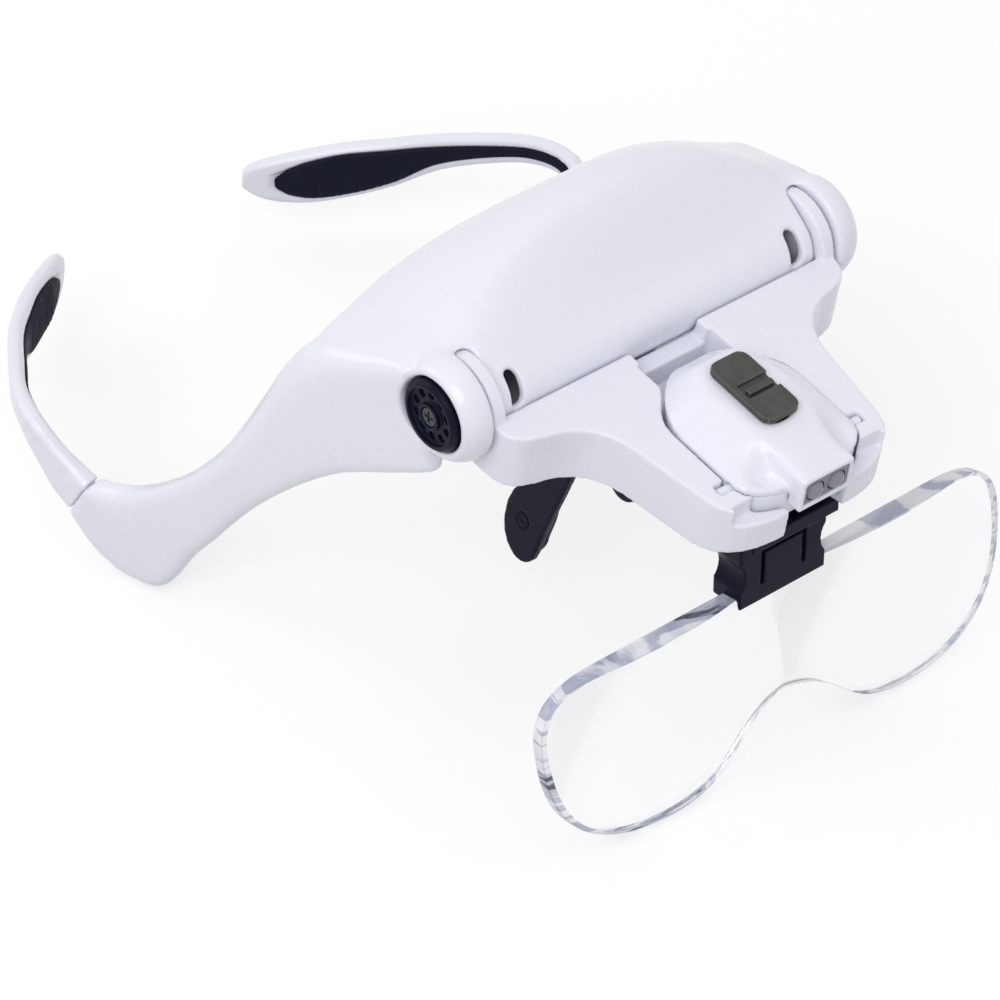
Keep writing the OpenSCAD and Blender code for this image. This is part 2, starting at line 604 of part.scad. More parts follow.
// The lens stands on the lower edge of its back
lens_top = -axis_h + lens_h * cos(lens_lean);
module at_lens() place() translate([0, lens_y, lens_top]) rotate([-lens_lean, 0, 0]) children();
hw = lens_w / 2;
module lens_half() polygon(concat([[0, 0], [0.74 * hw, 0]],
    curve([[0.74 * hw, 0], [0.93 * hw, 0], [hw, -0.1 * lens_h], [hw, -0.3 * lens_h]], 8),
    curve([[hw, -0.3 * lens_h], [hw, -0.78 * lens_h], [0.84 * hw, -lens_h], [0.53 * hw, -lens_h]], 12),
    curve([[0.53 * hw, -lens_h], [0.2 * hw, -lens_h], [0.26 * hw, -0.68 * lens_h],
        [0, -0.68 * lens_h]], 10)));
tab_w = 2 * clip_half - 6;
module lens() color(clear) at_lens() {
    rotate([90, 0, 0]) intersection() {
        linear_extrude(30, center = true) both() lens_half();
        union() {
            translate([-hw, -lens_h, 0]) cube([lens_w, lens_h, lens_t]);
            for (s = [-1, 1]) intersection() {
                translate([s > 0 ? 0 : -hw, -lens_h, eps]) cube([hw, lens_h, 20]);
                translate([s * lobe_x, lobe_v, lens_t + lobe_rise - lobe_r])
                    sphere(r = lobe_r, $fn = 200);
            }
        }
    }
    translate([-tab_w / 2, -lens_t, -0.2]) cube([tab_w, lens_t, 8.2]);
}

clip_front = -49.8;
clip_back = -41;
clip_low = lens_top - 1.4;
module lens_clip() color(black) difference() {
    union() {
        place() translate([-clip_half, clip_front, clip_low])
            cube([2 * clip_half, clip_back - clip_front, plug_top - clip_low + 1]);
        place() translate([-clip_half, clip_front - 3.6, lens_top + 16])
            cube([2 * clip_half, 4, 3.6]);
    }
    // Cut off under the carrier, which leaves the plug standing
    difference() {
        on_carrier() translate([-30, -80, base_z - 0.2]) cube([60, 80, 40]);
        place() clip_plug(0, 0);
    }
    place() translate([-30, -80, plug_top]) cube([60, 80, 30]);
    // Channel for the lens and its tab
    at_lens() translate([-tab_w / 2 - 0.1, -lens_t - 0.1, -1]) cube([tab_w + 0.2, lens_t + 0.2, 9.6]);
    at_lens() translate([-clip_half - 1, -lens_t - 1.9, -4]) cube([2 * clip_half + 2, lens_t + 2, 4]);
    // Hollow body, and a U-shaped slot round the flexible latch
    place() translate([-clip_half + 2.2, clip_front + 1.8, lens_top + 11.4])
        cube([2 * clip_half - 4.4, clip_back - clip_front - 3.6, 9]);
    for (s = [-1, 1]) place() {
        translate([s * 6 - 0.6, clip_front - 1, lens_top + 3]) cube([1.2, 2.2, 9]);
        // Finger hollows in the sides
        translate([s * (clip_half + 4.6), (clip_front + clip_back) / 2, lens_top + 7])
            rotate([90, 0, 0]) cylinder(h = 20, r = 6, center = true, $fn = fine);
    }
    place() translate([-6.6, clip_front - 1, lens_top + 11.4]) cube([13.2, 2.2, 1.2]);
}

// Leg: centre line points, height, thickness and height of the grip, from the plug to the tip
leg_line = [
    [plug_at + 0.5 * plug_dir, 12, 5.2, 2.6], [plug_at + 5 * plug_dir, 11.2, 4.8, 2.6],
    [[plug_at[0] + 2.4, 109.4, -63.6], leg_h + 1.6, leg_t, 2.6],
    [[81.6, 116, -57.2], leg_h, leg_t, 2.6], [[78.6, 125, -56], leg_h, leg_t - 0.4, 2.6],
    [[72.6, 134.4, -57.4], leg_h + 0.6, leg_t - 0.4, 3], [[64, 147, -61.4], 10, leg_t - 0.4, 5],
    [[56.2, 156, -65.8], 13.4, leg_t, 9.4], [[48.4, 163.6, -68.6], 15.4, leg_t, 11.6],
    [[41, 169.6, -70.4], 15.2, leg_t, 10.4], [[34.6, 174.6, -71], 13, leg_t - 0.4, 5],
    [[30.6, 177.8, -70.8], 9.6, leg_t - 0.8, 3], [[28.2, 179.6, -70.6], 5, leg_t - 1.6, 3]];
leg_cuts = 3;
leg_path = smooth(leg_line, leg_cuts);
function leg_dir(i) = let (n = len(leg_path), d = leg_path[min(i + 1, n - 1)][0] - leg_path[max(i - 1, 0)][0])
    unit(i == 0 ? plug_dir : d);
function leg_out(i) = let (d = leg_dir(i)) unit([d[1], -d[0], 0]);
function leg_up(i) = cross(leg_out(i), leg_dir(i));
function leg_ring(i, h, t, shift, c) = let (o = leg_out(i), u = leg_up(i), p = leg_path[i][0] + shift * o)
    cut_ring([p + o * t / 2 - u * h / 2, p + o * t / 2 + u * h / 2,
        p - o * t / 2 + u * h / 2, p - o * t / 2 - u * h / 2], c);
// Rubber grip in a groove along the inner face
grip_d = 1;
grip_first = 2 * leg_cuts;
grip_last = len(leg_path) - 1 - 2 * leg_cuts;
function grip_h(i) = leg_path[i][3];
function grooved(i) = i >= grip_first && i <= grip_last ? grip_d - 0.3 : 0;
function leg_section(i) = let (r = leg_ring(i, leg_path[i][1], leg_path[i][2], 0, 1.2),
        o = leg_out(i), u = leg_up(i), p = leg_path[i][0] - o * leg_path[i][2] / 2,
        g = grip_h(i) / 2 + 0.05, d = grooved(i) * o)
    concat([for (j = [0:5]) r[j]], [p + g * u, p + g * u + d - 0.01 * u, p - g * u + d + 0.01 * u, p - g * u],
        [r[6], r[7]]);
module grip_body() skin([for (i = [grip_first:grip_last])
    leg_ring(i, grip_h(i), grip_d, 0.5 - (grip_d + leg_path[i][2]) / 2, 0.3)]);

module leg(s) color(white) place() on_side(s) {
    skin([for (i = [0:len(leg_path) - 1]) leg_section(i)]);
    at_plug() translate([-plug_w / 2, 1.6 - plug_l, -plug_h / 2]) cube([plug_w, plug_l + 1.4, plug_h]);
}
module leg_right() leg(-1);
module leg_left() leg(1);
module leg_grip_right() color(black) place() on_side(-1) grip_body();
module leg_grip_left() color(black) place() on_side(1) grip_body();

frame_shell();
brow_cover();
cover_screws();
nose_bracket();
nose_pad_right();
nose_pad_left();
washer_right();
washer_left();
lamp_carrier();
knob_right();
knob_left();
knob_screw_right();
knob_screw_left();
pod_top();
pod_base();
battery_door();
door_screw();
pod_screws();
coin_cells();
cell_contact();
spring_contact();
circuit_board();
switch_block();
switch_slider();
led_right();
led_left();
led_window();
lens();
lens_clip();
leg_right();
leg_left();
leg_grip_right();
leg_grip_left();
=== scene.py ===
import bpy
import bmesh
import json
import math
import numpy as np
from mathutils import Matrix, Vector


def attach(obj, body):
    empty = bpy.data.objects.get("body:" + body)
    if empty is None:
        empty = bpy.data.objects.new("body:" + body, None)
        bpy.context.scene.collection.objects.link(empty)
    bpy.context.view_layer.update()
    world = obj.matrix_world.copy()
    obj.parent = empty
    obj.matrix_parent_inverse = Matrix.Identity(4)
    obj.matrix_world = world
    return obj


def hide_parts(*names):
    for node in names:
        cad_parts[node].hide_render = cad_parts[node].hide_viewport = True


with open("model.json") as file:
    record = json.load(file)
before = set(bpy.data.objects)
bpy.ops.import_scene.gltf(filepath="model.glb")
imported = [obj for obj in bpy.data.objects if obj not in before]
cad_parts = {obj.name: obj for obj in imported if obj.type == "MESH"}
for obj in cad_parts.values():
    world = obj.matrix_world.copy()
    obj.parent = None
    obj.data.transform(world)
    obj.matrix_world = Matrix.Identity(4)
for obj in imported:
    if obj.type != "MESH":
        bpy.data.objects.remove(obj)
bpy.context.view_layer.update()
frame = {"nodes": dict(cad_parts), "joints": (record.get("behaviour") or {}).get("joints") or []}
nodes = frame["nodes"]
scene = bpy.context.scene
mm = 0.001
print("frame loaded:", len(nodes), "nodes")

# Places below are measured from the lamp carrier's tilt axis, in millimetres.
# The lamp pod leans by podLean degrees, the way its switch slides.
joints = {joint["name"]: joint for joint in frame["joints"]}
tiltAxis = [round(distance / mm, 3) for distance in joints["carrier_tilt"]["pos_m"]]
podLean = round(math.degrees(math.asin(-joints["switch_slide"]["axis"][2])), 2)
sideOf = {"right": -1, "left": 1}


def fromAxis(x, y, z):
    return Vector((x + tiltAxis[0], y + tiltAxis[1], z + tiltAxis[2])) * mm


def bezier(corners, steps):
    points = []
    for i in range(steps + 1):
        t = i / steps
        shares = [(1 - t) ** 3, 3 * t * (1 - t) ** 2, 3 * t * t * (1 - t), t ** 3]
        points.append(tuple(sum(share * c for share, c in zip(shares, row)) for row in zip(*corners)))
    return points


def anglesRound(sides):
    return [2 * math.pi * i / sides for i in range(sides)]


# Parts of finishes. A noise's values mostly lie in noiseSpan.
noiseSpan = (0.3, 0.7)


def startMaterial(name):
    material = bpy.data.materials.new(name)
    material.use_nodes = True
    tree = material.node_tree
    shader = tree.nodes["Principled BSDF"]
    where = tree.nodes.new("ShaderNodeTexCoord")
    return material, tree, shader, where.outputs["Object"]


def addNoise(tree, where, size, detail=3.0):
    noise = tree.nodes.new("ShaderNodeTexNoise")
    noise.inputs["Scale"].default_value = 1 / (size * mm)
    noise.inputs["Detail"].default_value = detail
    tree.links.new(where, noise.inputs["Vector"])
    return noise.outputs["Fac"]


def addRange(tree, value, low, high, span=noiseSpan):
    ranged = tree.nodes.new("ShaderNodeMapRange")
    ranged.inputs["From Min"].default_value = span[0]
    ranged.inputs["From Max"].default_value = span[1]
    ranged.inputs["To Min"].default_value = low
    ranged.inputs["To Max"].default_value = high
    tree.links.new(value, ranged.inputs["Value"])
    return ranged.outputs["Result"]


def addBlend(tree, value, colourA, colourB):
    ramp = tree.nodes.new("ShaderNodeValToRGB")
    for end, place, colour in zip(ramp.color_ramp.elements, noiseSpan, (colourA, colourB)):
        end.position = place
        end.color = (*colour, 1)
    tree.links.new(value, ramp.inputs["Fac"])
    return ramp.outputs["Color"]


def addGrain(tree, shader, value, depth, strength=1):
    bump = tree.nodes.new("ShaderNodeBump")
    bump.inputs["Distance"].default_value = depth * mm
    bump.inputs["Strength"].default_value = strength
    tree.links.new(value, bump.inputs["Height"])
    tree.links.new(bump.outputs["Normal"], shader.inputs["Normal"])


# Solid finishes. Colours are linear; cloudSize, scuffSize, grainSize and grainDepth are in millimetres.
usualLook = {"edgeSpan": (0.52, 0.62), "scuffDetail": 6, "grainDetail": 2, "metallic": 0, "ior": 1.5,
             "coat": 0, "coatRoughness": 0.12}
finishes = {
    "mouldedWhite": {
        "colour": (0.825, 0.835, 0.925), "colourB": (0.845, 0.855, 0.94), "cloudSize": 30,
        "wearAndHighlightColour": (0.88, 0.885, 0.95), "edgeWearAndHighlight": 0, "roughness": (0.25, 0.30), "scuffSize": 9,
        "grainSize": 0.5, "grainDepth": 0.002, "coat": 0.25},
    # The black finishes' lighter edges are partly wear and partly a painted highlight along the edges
    "mouldedBlack": {
        "colour": (0.004, 0.005, 0.016), "colourB": (0.006, 0.007, 0.021), "cloudSize": 6,
        "wearAndHighlightColour": (0.02, 0.02, 0.035), "edgeWearAndHighlight": 0.3, "roughness": (0.30, 0.42),
        "scuffSize": 3, "grainSize": 0.4, "grainDepth": 0.010, "ior": 1.19},
    "softBlack": {
        "colour": (0.006, 0.007, 0.018), "colourB": (0.009, 0.010, 0.025), "cloudSize": 5,
        "wearAndHighlightColour": (0.022, 0.022, 0.035), "edgeWearAndHighlight": 0.3, "roughness": (0.50, 0.66),
        "scuffSize": 2.5, "grainSize": 0.3, "grainDepth": 0.020, "ior": 1.19},
    # The switch's strongly lighter edges are a painted highlight along its rims, partly wear
    "switchGrey": {
        "colour": (0.045, 0.048, 0.044), "colourB": (0.066, 0.070, 0.064), "cloudSize": 3,
        "wearAndHighlightColour": (0.17, 0.175, 0.165), "edgeWearAndHighlight": 0.8, "edgeSpan": (0.51, 0.56),
        "roughness": (0.36, 0.50), "scuffSize": 1.5, "grainSize": 0.25, "grainDepth": 0.012, "ior": 1.4},
    "screwSteel": {
        "colour": (0.46, 0.46, 0.48), "colourB": (0.56, 0.56, 0.58), "cloudSize": 2,
        "wearAndHighlightColour": (0.75, 0.75, 0.77), "edgeWearAndHighlight": 0.5, "roughness": (0.22, 0.38),
        "scuffSize": 0.8, "grainSize": 0.2, "grainDepth": 0.005, "metallic": 1},
    "darkScrew": {
        "colour": (0.03, 0.03, 0.04), "colourB": (0.045, 0.045, 0.055), "cloudSize": 2,
        "wearAndHighlightColour": (0.14, 0.14, 0.16), "edgeWearAndHighlight": 0.5, "roughness": (0.22, 0.34),
        "scuffSize": 0.8, "grainSize": 0.2, "grainDepth": 0.004, "metallic": 0.6},
    "contactBrass": {
        "colour": (0.60, 0.42, 0.16), "colourB": (0.68, 0.50, 0.22), "cloudSize": 2,
        "wearAndHighlightColour": (0.80, 0.62, 0.32), "edgeWearAndHighlight": 0.5, "roughness": (0.24, 0.36),
        "scuffSize": 0.8, "grainSize": 0.2, "grainDepth": 0.004, "metallic": 1},
    "boardGreen": {
        "colour": (0.012, 0.10, 0.04), "colourB": (0.02, 0.14, 0.055), "cloudSize": 2,
        "wearAndHighlightColour": (0.10, 0.22, 0.12), "edgeWearAndHighlight": 0.4, "roughness": (0.3, 0.42), "scuffSize": 1,
        "grainSize": 0.3, "grainDepth": 0.008},
}


def solidFinish(name, look):
    look = {**usualLook, **look}
    material, tree, shader, where = startMaterial(name)
    tint = addBlend(tree, addNoise(tree, where, look["cloudSize"]), look["colour"], look["colourB"])
    shape = tree.nodes.new("ShaderNodeNewGeometry")
    # Convex edges, found by Pointiness, are mixed towards a lighter colour: edge wear, and on the black
    # and grey pieces also a painted highlight
    wearAndHighlight = addRange(tree, shape.outputs["Pointiness"], 0, look["edgeWearAndHighlight"], look["edgeSpan"])
    mix = tree.nodes.new("ShaderNodeMix")
    mix.data_type = "RGBA"
    mix.inputs["B"].default_value = (*look["wearAndHighlightColour"], 1)
    tree.links.new(wearAndHighlight, mix.inputs["Factor"])
    tree.links.new(tint, mix.inputs["A"])
    tree.links.new(mix.outputs["Result"], shader.inputs["Base Color"])
    scuff = addNoise(tree, where, look["scuffSize"], look["scuffDetail"])
    tree.links.new(addRange(tree, scuff, *look["roughness"]), shader.inputs["Roughness"])
    grain = addNoise(tree, where, look["grainSize"], look["grainDetail"])
    addGrain(tree, shader, grain, look["grainDepth"])
    shader.inputs["Metallic"].default_value = look["metallic"]
    shader.inputs["IOR"].default_value = look["ior"]
    shader.inputs["Coat Weight"].default_value = look["coat"]
    shader.inputs["Coat Roughness"].default_value = look["coatRoughness"]
    return material


# Clear finishes, with a faint tint, haze and ripple
clearGrain = {"tintSize": 12, "tintStep": 0.012, "hazeSize": 6, "hazeDetail": 5,
              "rippleSize": 3, "rippleDetail": 1}
clearLooks = {
    "clearAcrylic": {"colour": (0.985, 0.987, 0.988), "ior": 1.49, "roughness": (0.0, 0.004),
                     "ripple": 0.0006, "through": 1},
    "lampResin": {"colour": (0.46, 0.44, 0.55), "ior": 1.45, "roughness": (0.06, 0.12),
                  "ripple": 0.002, "through": 0.45},
    "windowResin": {"colour": (0.25, 0.24, 0.31), "ior": 1.5, "roughness": (0.06, 0.12),
                    "ripple": 0.004, "through": 0.3},
}


def clearFinish(name, look, grain):
    material, tree, shader, where = startMaterial(name)
    shader.inputs["Transmission Weight"].default_value = look["through"]
    shader.inputs["IOR"].default_value = look["ior"]
    paler = tuple(min(1, tone + grain["tintStep"]) for tone in look["colour"])
    tint = addBlend(tree, addNoise(tree, where, grain["tintSize"]), look["colour"], paler)
    tree.links.new(tint, shader.inputs["Base Color"])
    haze = addNoise(tree, where, grain["hazeSize"], grain["hazeDetail"])
    tree.links.new(addRange(tree, haze, *look["roughness"]), shader.inputs["Roughness"])
    ripple = addNoise(tree, where, grain["rippleSize"], grain["rippleDetail"])
    addGrain(tree, shader, ripple, look["ripple"])
    return material


# Polished rim of the lens, with painted reflections and painted shade: pale, grey and dark streaks in its
# colour stand in for the light caught in the edge
rimLook = {"pale": (0.93, 0.94, 0.985), "grey": (0.50, 0.53, 0.66), "dark": (0.05, 0.06, 0.10),
           "stops": [(0.335, "dark"), (0.37, "grey"), (0.46, "grey"), (0.5, "pale")],
           "streak": (26.0, 26.0, 4.0), "detail": 5, "distortion": 1.2, "groove": 0.05,
           "grooveStrength": 0.6, "roughness": 0.06, "through": 0.35, "ior": 1.49}


def rimFinish(look):
    material, tree, shader, where = startMaterial("rimPaintedStreaks")
    stretch = tree.nodes.new("ShaderNodeMapping")
    stretch.inputs["Scale"].default_value = tuple(1 / (size * mm) for size in look["streak"])
    tree.links.new(where, stretch.inputs["Vector"])
    noise = tree.nodes.new("ShaderNodeTexNoise")
    noise.inputs["Scale"].default_value = 1
    noise.inputs["Detail"].default_value = look["detail"]
    noise.inputs["Distortion"].default_value = look["distortion"]
    tree.links.new(stretch.outputs["Vector"], noise.inputs["Vector"])
    # The ramp paints pale reflection streaks and dark shade strokes into the base colour
    ramp = tree.nodes.new("ShaderNodeValToRGB")
    ramp.color_ramp.elements[0].color = (*look["dark"], 1)
    ramp.color_ramp.elements[1].color = (*look["pale"], 1)
    for place, tone in look["stops"]:
        ramp.color_ramp.elements.new(place).color = (*look[tone], 1)
    tree.links.new(noise.outputs["Fac"], ramp.inputs["Fac"])
    tree.links.new(ramp.outputs["Color"], shader.inputs["Base Color"])
    addGrain(tree, shader, noise.outputs["Fac"], look["groove"], look["grooveStrength"])
    shader.inputs["Roughness"].default_value = look["roughness"]
    shader.inputs["Transmission Weight"].default_value = look["through"]
    shader.inputs["IOR"].default_value = look["ior"]
    return material


finish = {name: solidFinish(name, look) for name, look in finishes.items()}
for name, look in clearLooks.items():
    finish[name] = clearFinish(name, look, clearGrain)
finish["rimPaintedStreaks"] = rimFinish(rimLook)
print("finishes made:", len(finish))


# Modelled nodes, softened as moulded pieces are: voxel size in millimetres, rounds of softening, finish
mouldings = {
    "lamp_carrier": (0.35, 12, "mouldedWhite"), "pod_base": (0.35, 3, "mouldedWhite"),
    "battery_door": (0.25, 3, "mouldedWhite"),
    "leg_right": (0.35, 8, "mouldedWhite"), "leg_left": (0.35, 8, "mouldedWhite"),
    "nose_bracket": (0.25, 24, "mouldedBlack"), "lens_clip": (0.3, 3, "mouldedBlack"),
    "knob_right": (0.16, 6, "mouldedBlack"), "knob_left": (0.16, 6, "mouldedBlack"),
    "washer_right": (0.2, 2, "mouldedBlack"), "washer_left": (0.2, 2, "mouldedBlack"),
    "switch_slider": (0.15, 14, "switchGrey"), "switch_block": (0.2, 2, "screwSteel"),
    "knob_screw_right": (0.12, 2, "darkScrew"), "knob_screw_left": (0.12, 2, "darkScrew"),
    "cover_screws": (0.15, 2, "screwSteel"), "pod_screws": (0.1, 1, "screwSteel"),
    "door_screw": (0.1, 1, "screwSteel"), "coin_cells": (0.2, 2, "screwSteel"),
    "cell_contact": (0.06, 1, "contactBrass"), "spring_contact": (0.06, 1, "contactBrass"),
    "circuit_board": (0.2, 1, "boardGreen"),
}


def soften(piece, voxel, rounds):
    fine = piece.modifiers.new("fine", "REMESH")
    fine.mode = "VOXEL"
    fine.voxel_size = voxel * mm
    fine.use_smooth_shade = True
    soft = piece.modifiers.new("soften", "SMOOTH")
    soft.factor = 0.5
    soft.iterations = rounds


def setFinish(piece, look):
    piece.data.materials.clear()
    piece.data.materials.append(finish[look])


for name, (voxel, rounds, look) in mouldings.items():
    setFinish(nodes[name], look)
    soften(nodes[name], voxel, rounds)
setFinish(nodes["led_window"], "windowResin")  # too thin to soften
print("mouldings softened:", len(mouldings))


def dressPiece(piece, body, look, stands):
    for face in piece.data.polygons:
        face.use_smooth = True
    setFinish(piece, look)
    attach(piece, body)
    if stands:
        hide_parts(*stands)
    return piece


def newPiece(name, points, faces, body, look, stands=()):
    mesh = bpy.data.meshes.new(name)
    mesh.from_pydata(points, [], faces)
    made = bmesh.new()
    made.from_mesh(mesh)
    bmesh.ops.recalc_face_normals(made, faces=made.faces)
    made.to_mesh(mesh)
    made.free()
    piece = bpy.data.objects.new(name, mesh)
    scene.collection.objects.link(piece)
    return dressPiece(piece, body, look, stands)


def skinRings(rings, close=True):
    count = len(rings[0])
    points = [point for ring in rings for point in ring]
    faces = []
    for i in range(len(rings) - 1):
        for j in range(count):
            k = (j + 1) % count
            faces.append((i * count + j, i * count + k, (i + 1) * count + k, (i + 1) * count + j))
    if close:
        faces.append(tuple(range(count - 1, -1, -1)))
        faces.append(tuple((len(rings) - 1) * count + j for j in range(count)))
    return points, faces


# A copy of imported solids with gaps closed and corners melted, more where share says so
def meltedCopy(name, names, body, shape, share, extra=(), press=None):
    made = bmesh.new()
    for node in names:
        made.from_mesh(nodes[node].data)
    for points, faces in extra:
        corners = [made.verts.new(point) for point in points]
        for face in faces:
            made.faces.new([corners[k] for k in face])
    mesh = bpy.data.meshes.new(name)
    made.to_mesh(mesh)
    made.free()
    piece = bpy.data.objects.new(name, mesh)
    scene.collection.objects.link(piece)
    for amount in (shape["swell"], -shape["swell"]):
        fine = piece.modifiers.new("fine", "REMESH")
        fine.mode = "VOXEL"
        fine.voxel_size = shape["voxel"] * mm
        swell = piece.modifiers.new("swell", "DISPLACE")
        swell.mid_level = 0
        swell.strength = amount * mm
    shaped = piece.evaluated_get(bpy.context.evaluated_depsgraph_get())
    smooth = bpy.data.meshes.new_from_object(shaped)
    piece.modifiers.clear()
    piece.data = smooth
    count = len(smooth.vertices)
    spots = np.zeros(count * 3)
    smooth.vertices.foreach_get("co", spots)
    spots = spots.reshape(-1, 3)
    ends = np.zeros(len(smooth.edges) * 2, int)
    smooth.edges.foreach_get("vertices", ends)
    one, other = ends[0::2], ends[1::2]
    joined = np.maximum(np.bincount(ends, minlength=count), 1)
    place = spots / mm - np.array(tiltAxis)
    pull = 0.5 * share(*place.T, shape)[:, None]  # half-way to the neighbours' middle at most
    if press:
        spots += press(*place.T, shape)
    for _ in range(shape["rounds"]):
        total = [np.bincount(one, spots[other, k], count) + np.bincount(other, spots[one, k], count)
                 for k in range(3)]
        spots += pull * (np.stack(total, 1) / joined[:, None] - spots)
    smooth.vertices.foreach_set("co", spots.ravel())
    smooth.update()
    return dressPiece(piece, body, "mouldedWhite", names)


def rampUp(value, start, span, least=0):
    return np.clip((value - start) / span, least, 1)


# Twin lens: flat back, two bulging lobes, thick polished edge and the tab that the clip holds.
# Curves are in shares of half the width and of the height.
lensShape = {"width": 135.0, "height": 44.0, "edge": 3.0, "bulge": 4.6, "lean": 8.5, "seat": -43.8,
             "chamfer": 0.35, "roundIn": 0.35, "roundDown": 0.1, "steps": 46,
             "flatTop": 0.74, "flatSteps": 24,
             "corner": [(0.74, 0), (0.93, 0), (1, -0.1), (1, -0.3)], "cornerSteps": 30,
             "lobe": [(1, -0.3), (1, -0.78), (0.84, -1), (0.53, -1)], "lobeSteps": 48,
             "nose": [(0.53, -1), (0.2, -1), (0.26, -0.68), (0, -0.68)], "noseSteps": 40,
             "reach": 0.252, "domeAt": (0.245, -0.46), "middle": -0.28,
             "tab": 19.0, "tabRise": (-0.4, 8.0), "tabDepth": (0.02, 2.98)}


def lensOutline(shape):
    half, high, steps = shape["width"] / 2, shape["height"], shape["flatSteps"]
    outline = [(0.0, 0.0)] + [(shape["flatTop"] * half * i / steps, 0.0) for i in range(1, steps)]
    for part, first in (("corner", 0), ("lobe", 1), ("nose", 1)):
        corners = [(x * half, y * high) for x, y in shape[part]]
        outline += bezier(corners, shape[part + "Steps"])[first:]
    return outline + [(-x, y) for x, y in reversed(outline[1:-1])]


def buildLens(shape):
    wide, high = shape["width"], shape["height"]
    outline = lensOutline(shape)
    reach = shape["reach"] * wide
    radius = (reach ** 2 + shape["bulge"] ** 2) / (2 * shape["bulge"])
    turn = Matrix.Rotation(math.radians(-shape["lean"]), 3, "X")
    top = -tiltAxis[2] + high * math.cos(math.radians(shape["lean"]))  # the lower edge is on the floor
    middle = Vector((0, shape["middle"] * high))
    spans = [((Vector(point) - middle).length, Vector(point)) for point in outline]

    def front(point):
        across, down = abs(point.x) - shape["domeAt"][0] * wide, point.y - shape["domeAt"][1] * high
        dome = math.sqrt(max(radius ** 2 - across ** 2 - down ** 2, 0))
        return max(shape["edge"], shape["edge"] + shape["bulge"] - radius + dome)

    def place(x, depth, rise):
        spot = turn @ Vector((x, -depth, rise))
        return fromAxis(spot.x, spot.y + shape["seat"], spot.z + top)

    def faceRing(share, depth):
        inner = [middle + (point - middle) * share for _, point in spans]
        return [place(spot.x, depth(spot), spot.y) for spot in inner]

    def rimRing(inset, depth):
        inner = [(point, middle + (point - middle) * (1 - inset / span)) for span, point in spans]
        return [place(spot.x, depth(point), spot.y) for point, spot in inner]

    shares = [i / shape["steps"] for i in range(1, shape["steps"])]
    edge = [(shape["chamfer"], 0.0), (shape["chamfer"] * shape["roundIn"], shape["roundDown"]),
            (0.0, shape["chamfer"])]
    rings = [faceRing(share, front) for share in shares]
    rings += [rimRing(inset, lambda point: front(point) - drop) for inset, drop in edge]
    rings += [rimRing(inset, lambda point: drop) for inset, drop in reversed(edge)]
    rings += [faceRing(share, lambda point: 0) for share in reversed(shares)]
    points, faces = skinRings(rings, close=False)
    count = len(outline)
    for ring, depth in [(0, front(middle)), (len(rings) - 1, 0)]:
        points.append(place(middle.x, depth, middle.y))
        for j in range(count):
            faces.append((ring * count + j, ring * count + (j + 1) % count, len(points) - 1))
    first = len(points)
    back, face = shape["tabDepth"]
    for rise in shape["tabRise"]:
        for side, depth in [(-1, back), (1, back), (1, face), (-1, face)]:
            points.append(place(side * shape["tab"] / 2, depth, rise))
    for corners in [(0, 1, 2, 3), (4, 5, 6, 7), (0, 1, 5, 4), (1, 2, 6, 5), (2, 3, 7, 6), (3, 0, 4, 7)]:
        faces.append(tuple(first + k for k in corners))
    piece = newPiece("twinLens", points, faces, "lens", "clearAcrylic", ["lens"])
    # The rim faces take the painted reflection and shade streaks
    piece.data.materials.append(finish["rimPaintedStreaks"])
    rim = len(shares)
    for polygon in piece.data.polygons[(rim - 1) * count:(rim + 2 * len(edge)) * count]:
        polygon.material_index = 1
    piece.visible_shadow = False  # a clear lens casts no dark shadow


buildLens(lensShape)
print("lens made")


# Brow hood: shell and cover in one, melted gently, strongly along the wings, barely at the hubs and
# leg sockets. Each ramp is a start and a span. The ears fill the gap beside each hub: rings of (y, z)
# at a width x.
hoodShape = {"voxel": 0.5, "swell": 0.5, "rounds": 80, "gentle": 0.3, "crisp": 0.09, "strong": 1.0,
             "wingSide": (42, 8), "wingBack": (5, 6), "wingFromHub": (11, 3),
             "hubSide": (36, 3), "hubReach": (12.5, -2), "tail": (93, 4),
             "ears": [(44.6, [(8, 14.8), (7.4, 14.7), (3.84, 13.4), (2, 12.45), (0.9, 11.75),
                              (3, 11.35), (5.5, 10.35), (8, 8.7)]),
                      (50.0, [(7.2, 11.9), (6.5, 11.8), (4.6, 11.75), (3.2, 11.7), (2, 11.6),
                              (3.5, 11.2), (5.5, 10.35), (7.2, 9.3)])]}


def hoodShare(x, y, z, shape):
    side = np.abs(x)
    fromHub = np.hypot(y, z)
    wing = rampUp(side, *shape["wingSide"]) * rampUp(y, *shape["wingBack"])
    wing = wing * rampUp(fromHub, *shape["wingFromHub"])
    nearHub = rampUp(side, *shape["hubSide"]) * rampUp(fromHub, *shape["hubReach"])
    share = shape["gentle"] + (shape["strong"] - shape["gentle"]) * wing
    return share + (shape["crisp"] - share) * np.maximum(nearHub, rampUp(y, *shape["tail"]))


def buildHood(shape):
    ears = []
    for side in sideOf.values():
        rings = [[fromAxis(side * x, y, z) for y, z in ring] for x, ring in shape["ears"]]
        ears.append(skinRings(rings))
    meltedCopy("browHood", ["frame_shell", "brow_cover"], "frame", shape, hoodShare, ears)


buildHood(hoodShape)
print("brow hood made")


# Pod cap: melted above its joint, with a scoop pressed in on each side of the lamps
podShape = {"voxel": 0.3, "swell": 0.02, "rounds": 70, "rim": 0.05, "strong": 1.0,
            "split": 2.2, "fade": 2.0, "mouth": (-61.8, 1.8), "mouthLeast": 0.25,
            "scoop": 3.0, "scoopAt": (11.4, -56.0), "scoopSize": (3.3, 5.0), "scoopFrom": 1.8}


